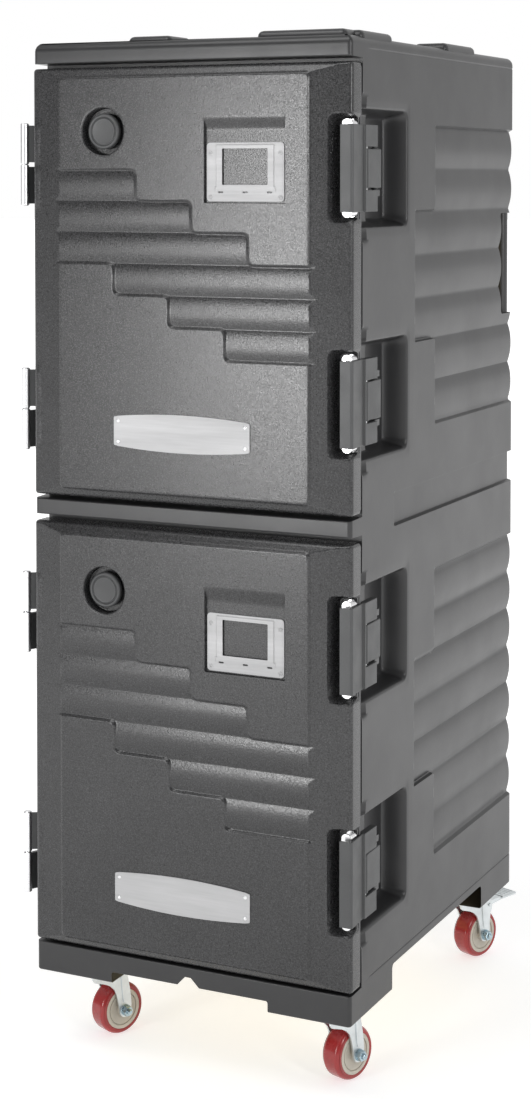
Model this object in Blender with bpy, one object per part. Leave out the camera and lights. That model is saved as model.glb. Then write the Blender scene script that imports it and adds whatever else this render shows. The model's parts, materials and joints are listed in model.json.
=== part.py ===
"""Insulated food carrier: a double rotomoulded cabinet with two doors on four casters.

Front faces -Y, the latch side is +X and the floor is Z = 0. Dimensions below are millimetres.
"""

import math

import bmesh
import bpy
from mathutils import Matrix, Vector

MM = 0.001
FAR = 400.0
GAP = 0.3

# Cabinet
HALF_WIDTH = 247.0
HALF_DEPTH = 327.5
TOP_Z = 1450.0
FOOT_Z = 115.0
BASE_Z = 152.0
SKIRT_Z = 131.0
FOOT_INNER_X = 123.0
FOOT_FRONT_Y = -180.0
FOOT_REAR_Y = 185.0
RING_Y = -290.0
BAYS = ((158.0, 777.0), (801.0, 1420.0))
SCALLOP_DEPTH = 6.0
SIDE_BANDS = ((264.0, 684.0), (902.0, 1334.0))
BAND_START_Y = -20.0
BAND_START_LONG_Y = -99.0
WAIST_Z = (773.0, 819.0)
WAIST_START_Y = -176.0

# Compartments
CAVITY_HALF_X = 168.0
CAVITY_BACK_Y = 272.0
CAVITIES = ((210.0, 720.0), (858.0, 1368.0))
LINER_WALL = 4.0
RUNNER_PITCH = 76.0
RUNNER_COUNT = 6

# Doors, heights measured from each door's bottom edge
DOOR_BOTTOMS = (160.5, 806.0)
DOOR_HEIGHT = 608.0
DOOR_HALF_X = 248.5
DOOR_EDGE_Y = -327.0
PANEL_Y = -338.0
DOOR_BACK_Y = -293.5
DOOR_SKIN_Y = -300.0
PANEL_X = (-199.0, 189.0)
PANEL_H = (14.0, 594.0)
RIB_TOP = 465.0
RIB_PITCH = 43.7
RIB_DEPTH = 2.0
RIB_ENDS = (-76.0, 11.0, 98.0)
RIB_STARTS = (-111.0, -24.0, 63.0)
VENT_X = -128.0
VENT_H = 518.0
HOLDER_X = 93.0
PLATE_X = -4.0
LATCH_H = (151.0, 466.0)
HINGE_H = (121.0, 472.0)

# Hinges and latches
ROUND_ANGLE = math.radians(40)
HINGE_X = -268.0
HINGE_Y = -318.0
LEVER_PIN = (246.5, -279.0)
LINK_PIN = (239.0, -231.0)

# Casters
CASTER_X = 187.0
CASTER_Y = 257.0
TRAIL = 34.0
WHEEL_R = 37.5
WHEEL_HALF_W = 16.0
AXLE_Z = WHEEL_R
CASTER_TURNS = {"fr": -18.0, "fl": -24.0, "rr": -21.0, "rl": -15.0}

BLACK = ((0.030, 0.030, 0.032), 0.62, 0.0)
LINER_GREY = ((0.040, 0.040, 0.043), 0.55, 0.0)
FOAM = ((0.72, 0.62, 0.36), 0.90, 0.0)
NYLON = ((0.045, 0.047, 0.050), 0.42, 0.0)
RUBBER = ((0.020, 0.020, 0.020), 0.80, 0.0)
STEEL = ((0.62, 0.63, 0.64), 0.28, 1.0)
ZINC = ((0.66, 0.69, 0.70), 0.35, 1.0)
BLUE_ZINC = ((0.42, 0.52, 0.58), 0.30, 1.0)
SATIN = ((0.70, 0.70, 0.71), 0.34, 1.0)
RED = ((0.42, 0.030, 0.034), 0.30, 0.0)
CREAM = ((0.70, 0.66, 0.56), 0.45, 0.0)


def clear_scene():
    for old in list(bpy.data.objects):
        bpy.data.objects.remove(old, do_unlink=True)


def collection(name):
    made = bpy.data.collections.new(name)
    bpy.context.scene.collection.children.link(made)
    return made


def finish(bm, name, origin=(0.0, 0.0, 0.0)):
    """A mesh object from bmesh geometry in millimetres, with its origin at the given point."""
    bmesh.ops.recalc_face_normals(bm, faces=bm.faces)
    bmesh.ops.translate(bm, verts=bm.verts, vec=-Vector(origin))
    bmesh.ops.scale(bm, verts=bm.verts, vec=(MM, MM, MM))
    mesh = bpy.data.meshes.new(name)
    bm.to_mesh(mesh)
    bm.free()
    obj = bpy.data.objects.new(name, mesh)
    obj.location = Vector(origin) * MM
    return obj


def box_mesh(x, y, z, radius=0.0, segments=2, edges="all"):
    """A cube between the limits, with the chosen edges rounded."""
    bm = bmesh.new()
    bmesh.ops.create_cube(bm, size=1.0)
    for v in bm.verts:
        v.co.x = x[1] if v.co.x > 0 else x[0]
        v.co.y = y[1] if v.co.y > 0 else y[0]
        v.co.z = z[1] if v.co.z > 0 else z[0]
    if radius:
        along = {"x": 0, "y": 1, "z": 2}.get(edges)
        picked = []
        for e in bm.edges:
            span = e.verts[1].co - e.verts[0].co
            if along is None or abs(span[along]) > 1e-6:
                picked.append(e)
        bmesh.ops.bevel(
            bm, geom=picked, offset=radius, segments=segments, profile=0.5, affect="EDGES"
        )
    return bm


def box(name, x, y, z, radius=0.0, segments=2, edges="all", origin=(0.0, 0.0, 0.0)):
    return finish(box_mesh(x, y, z, radius, segments, edges), name, origin)


def prism(name, outline, axis, low, high, origin=(0.0, 0.0, 0.0)):
    """A flat outline filled and extruded along an axis. The outline's pairs are (y, z), (x, z)
    or (x, y) for an extrusion along x, y or z."""
    curve = bpy.data.curves.new(name, "CURVE")
    curve.dimensions = "2D"
    curve.fill_mode = "BOTH"
    curve.extrude = (high - low) / 2
    spline = curve.splines.new("POLY")
    spline.points.add(len(outline) - 1)
    for point, (u, v) in zip(spline.points, outline):
        point.co = (u, v, 0.0, 1.0)
    spline.use_cyclic_u = True
    holder = bpy.data.objects.new(name + "_outline", curve)
    mesh = bpy.data.meshes.new_from_object(holder)
    bm = bmesh.new()
    bm.from_mesh(mesh)
    bmesh.ops.remove_doubles(bm, verts=bm.verts, dist=1e-3)
    middle = (low + high) / 2
    turn = {
        "x": Matrix(((0, 0, 1, middle), (1, 0, 0, 0), (0, 1, 0, 0), (0, 0, 0, 1))),
        "y": Matrix(((1, 0, 0, 0), (0, 0, -1, middle), (0, 1, 0, 0), (0, 0, 0, 1))),
        "z": Matrix(((1, 0, 0, 0), (0, 1, 0, 0), (0, 0, 1, middle), (0, 0, 0, 1))),
    }[axis]
    bmesh.ops.transform(bm, matrix=turn, verts=bm.verts)
    bpy.data.objects.remove(holder)
    bpy.data.curves.remove(curve)
    bpy.data.meshes.remove(mesh)
    return finish(bm, name, origin)


def rod_mesh(radius, axis, centre, low, high, segments=20, radius_high=None):
    """A cylinder or cone along an axis; centre gives the two other coordinates in order."""
    bm = bmesh.new()
    bmesh.ops.create_cone(
        bm,
        cap_ends=True,
        segments=segments,
        radius1=radius,
        radius2=radius if radius_high is None else radius_high,
        depth=high - low,
    )
    middle = (low + high) / 2
    turn = {
        "x": Matrix(
            ((0, 0, 1, middle), (1, 0, 0, centre[0]), (0, 1, 0, centre[1]), (0, 0, 0, 1))
        ),
        "y": Matrix(
            ((0, 1, 0, centre[0]), (0, 0, 1, middle), (1, 0, 0, centre[1]), (0, 0, 0, 1))
        ),
        "z": Matrix(
            ((1, 0, 0, centre[0]), (0, 1, 0, centre[1]), (0, 0, 1, middle), (0, 0, 0, 1))
        ),
    }[axis]
    bmesh.ops.transform(bm, matrix=turn, verts=bm.verts)
    return bm


def rod(name, radius, axis, centre, low, high, segments=20, radius_high=None,
        origin=(0.0, 0.0, 0.0)):
    made = finish(rod_mesh(radius, axis, centre, low, high, segments, radius_high), name, origin)
    made.data.shade_smooth()
    made.data.set_sharp_from_angle(angle=ROUND_ANGLE)
    return made


def material(name, look):
    colour, roughness, metallic = look
    made = bpy.data.materials.new(name)
    made.use_nodes = True
    shader = made.node_tree.nodes["Principled BSDF"]
    shader.inputs["Base Color"].default_value = (*colour, 1.0)
    shader.inputs["Roughness"].default_value = roughness
    shader.inputs["Metallic"].default_value = metallic
    made.diffuse_color = (*colour, 1.0)
    return made


def part(obj, look, parent=None):
    """Keep an object as a piece of the carrier, with its own material."""
    PARTS.objects.link(obj)
    obj.data.materials.clear()
    obj.data.materials.append(material(obj.name, look))
    if parent is not None:
        attach(obj, parent)
    return obj


def attach(obj, parent):
    """Parent a piece built in place to an axis, with the tools that shape it, so that all of it
    turns with the axis."""
    above = parent
    offset = Vector((0.0, 0.0, 0.0))
    while above is not None:
        offset += above.location
        above = above.parent
    obj.parent = parent
    obj.location = obj.location - offset
    for modifier in obj.modifiers:
        attach(modifier.object, parent)


def tool(obj):
    """Keep an object as a cutter or an added lump of another."""
    TOOLS.objects.link(obj)
    obj.hide_render = True
    obj.display_type = "WIRE"
    return obj


def combine(target, other, operation):
    modifier = target.modifiers.new(other.name, "BOOLEAN")
    modifier.operation = operation
    modifier.solver = "EXACT"
    modifier.object = tool(other)
    return target


def cut(target, *others):
    for other in others:
        combine(target, other, "DIFFERENCE")
    return target


def add(target, *others):
    for other in others:
        combine(target, other, "UNION")
    return target


def keep(target, *others):
    for other in others:
        combine(target, other, "INTERSECT")
    return target


def pivot(name, at, turn=0.0, parent=None):
    """An empty on a joint's axis."""
    empty = bpy.data.objects.new(name, None)
    PARTS.objects.link(empty)
    empty.empty_display_size = 0.05
    empty.location = Vector(at) * MM
    empty.rotation_euler = (0.0, 0.0, math.radians(turn))
    if parent is not None:
        attach(empty, parent)
    return empty


def rounded(u, v, radii, steps=4):
    """A rectangle's outline, anticlockwise from its low corner, with a radius for each corner."""
    corners = ((u[0], v[0], 1, 1, 180), (u[1], v[0], -1, 1, 270),
               (u[1], v[1], -1, -1, 0), (u[0], v[1], 1, -1, 90))
    points = []
    for (x, y, right, up, start), radius in zip(corners, radii):
        if not radius:
            points.append((x, y))
            continue
        for i in range(steps + 1):
            angle = math.radians(start + 90 * i / steps)
            points.append((
                x + right * radius + radius * math.cos(angle),
                y + up * radius + radius * math.sin(angle),
            ))
    return points


def scallops(low, high, count, depth, steps):
    """(distance below the crest, height) down a column of equal convex bands."""
    pitch = (high - low) / count
    half = pitch / 2
    radius = (half * half + depth * depth) / (2 * depth)
    points = []
    for band in range(count):
        middle = high - pitch * (band + 0.5)
        for i in range(steps):
            z = half - pitch * i / steps
            points.append((radius - math.sqrt(radius * radius - z * z), middle + z))
    points.append((depth, low))
    return points


def band_cutter(name, low, high):
    """What is cut from the sides and back to leave seven convex bands."""
    crest_x = HALF_WIDTH - 0.4
    crest_y = HALF_DEPTH - 0.4
    column = scallops(low, high, 7, SCALLOP_DEPTH, 4)
    right = [(crest_x - d, z) for d, z in column]
    left = [(-x, z) for x, z in reversed(right)]
    top = [(-crest_x + 30, high + 30), (crest_x - 30, high + 30)]
    bottom = [(crest_x - 30, low - 30), (-crest_x + 30, low - 30)]
    across = prism(name + "_across", top + right + bottom + left, "y", -FAR, FAR + 60)
    rear = [(crest_y - d, z) for d, z in column]
    through = prism(
        name + "_through",
        [(-FAR - 60, high + 30), (crest_y - 30, high + 30), *rear,
         (crest_y - 30, low - 30), (-FAR - 60, low - 30)],
        "x", -FAR, FAR,
    )
    frame = box(name, (-270, 270), (BAND_START_LONG_Y, 350), (low, high))
    cut(frame, keep(across, through))
    pitch = (high - low) / 7
    steps = ((high - 2 * pitch, high + 20), (low - 20, low + 2 * pitch))
    for i, z in enumerate(steps):
        cut(frame, box(f"{name}_step_{i}", (-300, 300), (BAND_START_LONG_Y - 20, BAND_START_Y), z))
    return frame


def waist_cutter():
    low, high = WAIST_Z
    depth = SCALLOP_DEPTH
    frame = box("waist", (-270, 270), (WAIST_START_Y, 350), WAIST_Z)
    inner = box(
        "waist_core",
        (-HALF_WIDTH + depth, HALF_WIDTH - depth),
        (-FAR, HALF_DEPTH - depth),
        (low - 20, high + 20),
        18, 3, "z",
    )
    return cut(frame, inner)


def make_shell():
    plan = rounded((-HALF_WIDTH, HALF_WIDTH), (-HALF_DEPTH, HALF_DEPTH), (6, 6, 14, 14))
    shell = prism("outer_shell", plan, "z", FOOT_Z, TOP_Z + 40)
    front = rounded((-HALF_WIDTH, HALF_WIDTH), (FOOT_Z - 60, TOP_Z), (0, 0, 12, 12))
    side = rounded((-HALF_DEPTH, HALF_DEPTH), (FOOT_Z - 60, TOP_Z), (0, 0, 10, 10))
    keep(
        shell,
        prism("top_sides", front, "y", -FAR, FAR),
        prism("top_ends", side, "x", -FAR, FAR),
    )

    pads = (
        ((98, 232), (-312, -262), 9.0),
        ((188, 243), (-282, -172), 8.6),
        ((118, 184), (-107, 60), 9.0),
        ((188, 243), (34, 159), 9.0),
        ((-119, -49), (-284, -216), 9.0),
    )
    for i, (x, y, rise) in enumerate(pads):
        for side in (1, -1):
            add(shell, box(
                f"stack_pad_{i}_{'a' if side > 0 else 'b'}",
                sorted((x[0] * side, x[1] * side)), sorted((y[0] * side, y[1] * side)),
                (TOP_Z - 22, TOP_Z + rise), 8, 2,
            ))

    for i, z in enumerate(BAYS):
        cut(shell, box(f"door_bay_{i}", (-FAR, FAR), (-FAR, RING_Y), z))
    cut(
        shell,
        box("under_side", (-FAR, FAR), (FOOT_FRONT_Y, FOOT_REAR_Y), (0, BASE_Z)),
        box("under_rear", (-FOOT_INNER_X, FOOT_INNER_X), (-300, FAR), (0, BASE_Z)),
        box("under_front", (-FOOT_INNER_X, FOOT_INNER_X), (-FAR, -290), (0, SKIRT_Z)),
        prism(
            "skirt_notch",
            [(-17, 128), (17, 128), (17, SKIRT_Z), (4, 143.5), (-5, 143.5), (-17, SKIRT_Z)],
            "y", -FAR, -280,
        ),
    )
    for i, (low, high) in enumerate(SIDE_BANDS):
        cut(shell, band_cutter(f"side_bands_{i}", low, high))
    cut(shell, waist_cutter())

    for i, (low, high) in enumerate(hollow_boxes(0.0)):
        cut(shell, box(f"foam_space_{i}", *zip(low, high)))
    for i, z in enumerate(CAVITIES):
        edge = LINER_WALL + GAP
        cut(shell, box(
            f"liner_opening_{i}",
            (-CAVITY_HALF_X - edge, CAVITY_HALF_X + edge), (-FAR, -250),
            (z[0] - edge, z[1] + edge),
        ))

    for d, bottom in enumerate(DOOR_BOTTOMS):
        for k, height in enumerate(LATCH_H):
            z = bottom + height
            tag = f"{d}_{k}"
            cut(
                shell,
                box(f"latch_pocket_{tag}", (226, 280), (-300, -224), (z - 77, z + 77), 6, 2, "x"),
                box(f"finger_pocket_{tag}", (212, 280), (-230, -131), (z - 77, z + 77), 9, 2),
            )
            for side, name in ((1, "upper"), (-1, "lower")):
                near, far = sorted((z + side * 29.5, z + side * 38))
                add(shell, box(f"lug_{name}_{tag}", (224, 244), (-238, -222), (near, far)))
            cut(shell, rod(
                f"link_bore_{tag}", 3.3, "z", LINK_PIN, z - 38.5, z + 38.5, 12
            ))

    for side, name in ((1, "right"), (-1, "left")):
        cut(shell, box(
            f"handle_pocket_{name}",
            sorted((206 * side, 300 * side)), (271, FAR), (1043, 1203), 8, 2,
        ))
        add(shell, rod(
            f"handle_bar_{name}", 9, "z", (232 * side, 312.5), 1030, 1216, 14
        ))
    return part(shell, BLACK)


def hollow_boxes(inset):
    """The space between the skins as three overlapping boxes, each shrunk by inset."""
    low_z = BASE_Z + 12 + inset
    high_z = TOP_Z - 12 - inset
    return (
        ((-235 + inset, -284 + inset, low_z), (202 - inset, -118 - inset, high_z)),
        ((-235 + inset, -124 + inset, low_z), (235 - inset, 262 - inset, high_z)),
        ((-198 + inset, 255 + inset, low_z), (198 - inset, 315 - inset, high_z)),
    )


def make_core():
    first, *others = hollow_boxes(GAP)
    core = box("insulation_core", *zip(*first))
    for i, (low, high) in enumerate(others):
        add(core, box(f"core_block_{i}", *zip(low, high)))
    edge = LINER_WALL + GAP
    for i, z in enumerate(CAVITIES):
        cut(core, box(
            f"core_cavity_{i}",
            (-CAVITY_HALF_X - edge, CAVITY_HALF_X + edge), (-FAR, CAVITY_BACK_Y + edge),
            (z[0] - edge, z[1] + edge),
        ))
    return part(core, FOAM)


def make_liner(name, z):
    wall = LINER_WALL
    liner = box(
        name,
        (-CAVITY_HALF_X - wall, CAVITY_HALF_X + wall), (RING_Y - 2, CAVITY_BACK_Y + wall),
        (z[0] - wall, z[1] + wall),
    )
    add(liner, box(
        name + "_flange",
        (-CAVITY_HALF_X - 12, CAVITY_HALF_X + 12), (RING_Y - 2.7, RING_Y - GAP),
        (z[0] - 12, z[1] + 12), 10, 2, "y",
    ))
    cut(liner, box(
        name + "_cavity", (-CAVITY_HALF_X, CAVITY_HALF_X), (-FAR, CAVITY_BACK_Y), z, 12, 2, "y"
    ))
    for i in range(RUNNER_COUNT):
        height = z[0] + 62 + RUNNER_PITCH * i
        for side, hand in ((1, "right"), (-1, "left")):
            add(liner, box(
                f"{name}_runner_{hand}_{i}",
                sorted((157 * side, 170 * side)), (-262, 264), (height, height + 10),
            ))
    return part(liner, LINER_GREY)


def rib_cutter(name, base):
    """What is cut from a door's panel to leave six convex ribs that step to the right."""
    high = base + RIB_TOP
    low = high - 6 * RIB_PITCH
    crest = PANEL_Y + 0.25
    column = [(crest + d, z) for d, z in scallops(low, high, 6, RIB_DEPTH, 4)]
    cutter = prism(name, [(PANEL_Y - 20, high), *column, (PANEL_Y - 20, low)], "x", -300, 300)
    for i in range(6):
        top = high - RIB_PITCH * i
        x = (RIB_ENDS[i], FAR) if i < 3 else (-FAR, RIB_STARTS[i - 3])
        over = 4 if i == 0 else 0
        under = 4 if i == 5 else 0
        cut(cutter, box(
            f"{name}_end_{i}", x, (PANEL_Y - 30, PANEL_Y + 20),
            (top - RIB_PITCH - under, top + over),
        ))
    return cutter


def make_door(tag, base):
    top = base + DOOR_HEIGHT
    hinge = pivot(f"{tag}_door_hinge_axis", (HINGE_X, HINGE_Y, base + DOOR_HEIGHT / 2))
    origin = (HINGE_X, HINGE_Y, base)

    skin = box(
        f"{tag}_door_skin", (-DOOR_HALF_X, DOOR_HALF_X), (DOOR_EDGE_Y, DOOR_SKIN_Y),
        (base, top), 5, 2, "y", origin,
    )
    bm = box_mesh(PANEL_X, (PANEL_Y, DOOR_EDGE_Y + 2), (base + PANEL_H[0], base + PANEL_H[1]))
    for v in bm.verts:
        if v.co.y > DOOR_EDGE_Y:
            v.co.x = DOOR_HALF_X - 1 if v.co.x > 0 else 1 - DOOR_HALF_X
            v.co.z = top - 1 if v.co.z > base + 300 else base + 1
    corners = [e for e in bm.edges if abs(e.verts[0].co.y - e.verts[1].co.y) > 1]
    bmesh.ops.bevel(bm, geom=corners, offset=9, segments=3, profile=0.5, affect="EDGES")
    add(skin, finish(bm, f"{tag}_door_panel"))
    cut(
        skin,
        rib_cutter(f"{tag}_ribs", base),
        rod(f"{tag}_vent_recess", 33, "y", (VENT_X, base + VENT_H), -360, PANEL_Y + 10, 28),
        rod(f"{tag}_vent_bore", 8.3, "y", (VENT_X, base + VENT_H), -360, PANEL_Y + 16, 16),
        prism(
            f"{tag}_holder_recess",
            [(-360, base + 575), (PANEL_Y, base + 537), (PANEL_Y + 5, base + 519),
             (PANEL_Y + 5, base + 419), (-360, base + 419)],
            "x", HOLDER_X - 61, HOLDER_X + 61,
        ),
    )
    for k, height in enumerate(LATCH_H):
        z = (base + height - 70, base + height + 70)
        cut(
            skin,
            box(f"{tag}_latch_recess_{k}", (217, 300), (-380, -304), z, 8, 2, "y"),
            box(f"{tag}_latch_notch_{k}", (246.5, 300), (-390, -280), z),
        )
    cut(skin, box(
        f"{tag}_foam_space", (-241, 207), (PANEL_Y + 18, -290), (base + 8, top - 8)
    ))
    part(skin, BLACK, hinge)

    part(box(
        f"{tag}_door_insulation", (-241 + GAP, 207 - GAP), (PANEL_Y + 18 + GAP, DOOR_SKIN_Y),
        (base + 8 + GAP, top - 8 - GAP), origin=origin,
    ), FOAM, hinge)

    cavity = CAVITIES[0] if tag == "lower" else CAVITIES[1]
    back = box(
        f"{tag}_door_inner_panel", (-247, 247), (DOOR_SKIN_Y + GAP, DOOR_BACK_Y - 0.6),
        (base + 1.5, top - 1.5), 5, 2, "y", origin,
    )
    add(back, box(
        f"{tag}_door_plug", (-158, 158), (-296, -272), (cavity[0] + 8, cavity[1] - 8), 6, 2
    ))
    cut(back, seal_ring(f"{tag}_seal_groove", cavity, 0.0, -297.8, -280))
    part(back, LINER_GREY, hinge)

    part(seal_ring(f"{tag}_door_seal", cavity, GAP, -297.4, RING_Y - 3, origin), RUBBER, hinge)
    return hinge


def seal_ring(name, cavity, inset, front, back, origin=(0.0, 0.0, 0.0)):
    """A rectangular ring around a compartment's mouth."""
    ring = box(
        name, (-177 + inset, 177 - inset), (front, back),
        (cavity[0] - 9 + inset, cavity[1] + 9 - inset), 10, 2, "y", origin,
    )
    cut(ring, box(
        name + "_inside", (-166 - inset, 166 + inset), (front - 9, back + 9),
        (cavity[0] + 2 - inset, cavity[1] - 2 + inset), 6, 2, "y",
    ))
    return ring


def make_vent(tag, base, hinge):
    at = (VENT_X, base + VENT_H)
    origin = (VENT_X, PANEL_Y + 2, base + VENT_H)
    cap = rod(f"{tag}_vent_cap", 25, "y", at, PANEL_Y + 2, PANEL_Y + 9.7, 32, origin=origin)
    add(cap, rod(f"{tag}_vent_stem", 8, "y", at, PANEL_Y + 5, PANEL_Y + 15.5, 16))
    cut(cap, rod(f"{tag}_vent_dish", 20, "y", at, PANEL_Y - 5, PANEL_Y + 4, 32))
    add(cap, rod(f"{tag}_vent_boss", 17, "y", at, PANEL_Y + 2.6, PANEL_Y + 6, 32))
    part(cap, NYLON, hinge)


def make_holder(tag, base, hinge):
    low, high = base + 421, base + 501
    face = PANEL_Y + 5 - GAP
    origin = (HOLDER_X, face, low)
    holder = box(
        f"{tag}_card_holder", (HOLDER_X - 58.5, HOLDER_X + 58.5), (face - 2.7, face),
        (low, high), 5, 2, "y", origin,
    )
    cut(holder, box(
        f"{tag}_card_window", (HOLDER_X - 34.5, HOLDER_X + 34.5), (-360, -320),
        (low + 22.5, high - 8),
    ))
    for i in (-1, 0, 1):
        cut(holder, box(
            f"{tag}_card_slot_{i + 1}",
            (HOLDER_X + 37 * i - 4, HOLDER_X + 37 * i + 4), (-360, -320), (low + 11, low + 13.5),
        ))
    part(holder, SATIN, hinge)


def make_plate(tag, base, hinge):
    low, high, half, bulge = base + 79, base + 120, 106.0, 6.0
    upper = []
    for i in range(9):
        x = half - half * i / 4
        upper.append((PLATE_X + x, high + bulge * (1 - (x / half) ** 2)))
    lower = [(PLATE_X + (PLATE_X - x), low + high - z) for x, z in upper]
    origin = (PLATE_X, PANEL_Y, base + 100)
    part(prism(
        f"{tag}_name_plate", upper + lower, "y", PANEL_Y - 1.8, PANEL_Y - GAP, origin
    ), SATIN, hinge)


def make_hinge(tag, number, z, door):
    """Upper knuckle on the door, lower knuckle and pin on the cabinet."""
    axis = (HINGE_X, HINGE_Y)
    origin = (*axis, z)
    name = f"{tag}_hinge_{number}"
    leaf = rod(f"{name}_door_leaf", 6.2, "z", axis, z + GAP, z + 59, 16, origin=origin)
    strap = [(0, -5), (16, -5), (16, -7.5), (19.2, -7.5), (19.2, 15), (16, 15), (16, 3), (0, 3)]
    add(leaf, prism(
        f"{name}_door_strap", [(axis[0] + x, axis[1] + y) for x, y in strap], "z", z + 3, z + 56
    ))
    cut(leaf, rod(f"{name}_bore", 3.3, "z", axis, z - 9, z + 52, 12))
    part(leaf, STEEL, door)

    base = rod(f"{name}_body_leaf", 6.2, "z", axis, z - 59, z, 16, origin=origin)
    arm = [(-3, 4), (3, -1), (14.5, 24), (20.6, 29.2), (20.6, 64), (16.4, 64), (16.4, 34),
           (9.5, 29)]
    add(base, prism(
        f"{name}_body_strap", [(axis[0] + x, axis[1] + y) for x, y in arm], "z", z - 56, z - 3
    ))
    add(base, rod(f"{name}_pin", 3.0, "z", axis, z - 3, z + 51.5, 12))
    part(base, STEEL)


def make_latch(tag, number, z, door):
    name = f"{tag}_latch_{number}"
    origin = (*LINK_PIN, z)
    link_axis = pivot(f"{name}_link_axis", origin)
    link = box(
        f"{name}_link", (241.5, 249.5), (-277, -231), (z - 28.2, z + 28.2), origin=origin
    )
    add(
        link,
        rod(f"{name}_link_nose", 4.6, "z", LEVER_PIN, z - 28.2, z + 28.2, 14),
        rod(f"{name}_link_heel", 5.0, "z", LINK_PIN, z - 28.2, z + 28.2, 14),
        rod(f"{name}_link_trunnion", 3.0, "z", LINK_PIN, z - 37.5, z + 37.5, 12),
        rod(f"{name}_lever_pin", 2.2, "z", LEVER_PIN, z - 56.5, z + 56.5, 12),
    )
    part(link, NYLON, link_axis)

    lever_origin = (*LEVER_PIN, z)
    lever_axis = pivot(f"{name}_lever_axis", lever_origin, parent=link_axis)
    profile = [
        (233, -334), (248.5, -334), (252, -330.5), (252, -248), (243.5, -248), (241.5, -251),
        (241.5, -285), (248.2, -292), (248.2, -328.5), (246.8, -330), (233, -330),
    ]
    lever = prism(f"{name}_lever", profile, "z", z - 58.5, z + 58.5, lever_origin)
    cut(
        lever,
        box(f"{name}_lever_notch", (230, 270), (-287, -240), (z - 28.7, z + 28.7)),
        rod(f"{name}_lever_bore", 2.5, "z", LEVER_PIN, z - 57, z + 57, 12),
    )
    part(lever, NYLON, lever_axis)

    keeper = box(
        f"{name}_keeper", (231, 246), (-323.5, -304 - GAP), (z - 66, z + 66),
        origin=(240, -304, z),
    )
    cut(keeper, box(f"{name}_keeper_inside", (220, 243.6), (-321, -306.8), (z - 90, z + 90)))
    part(keeper, STEEL, door)


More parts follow.
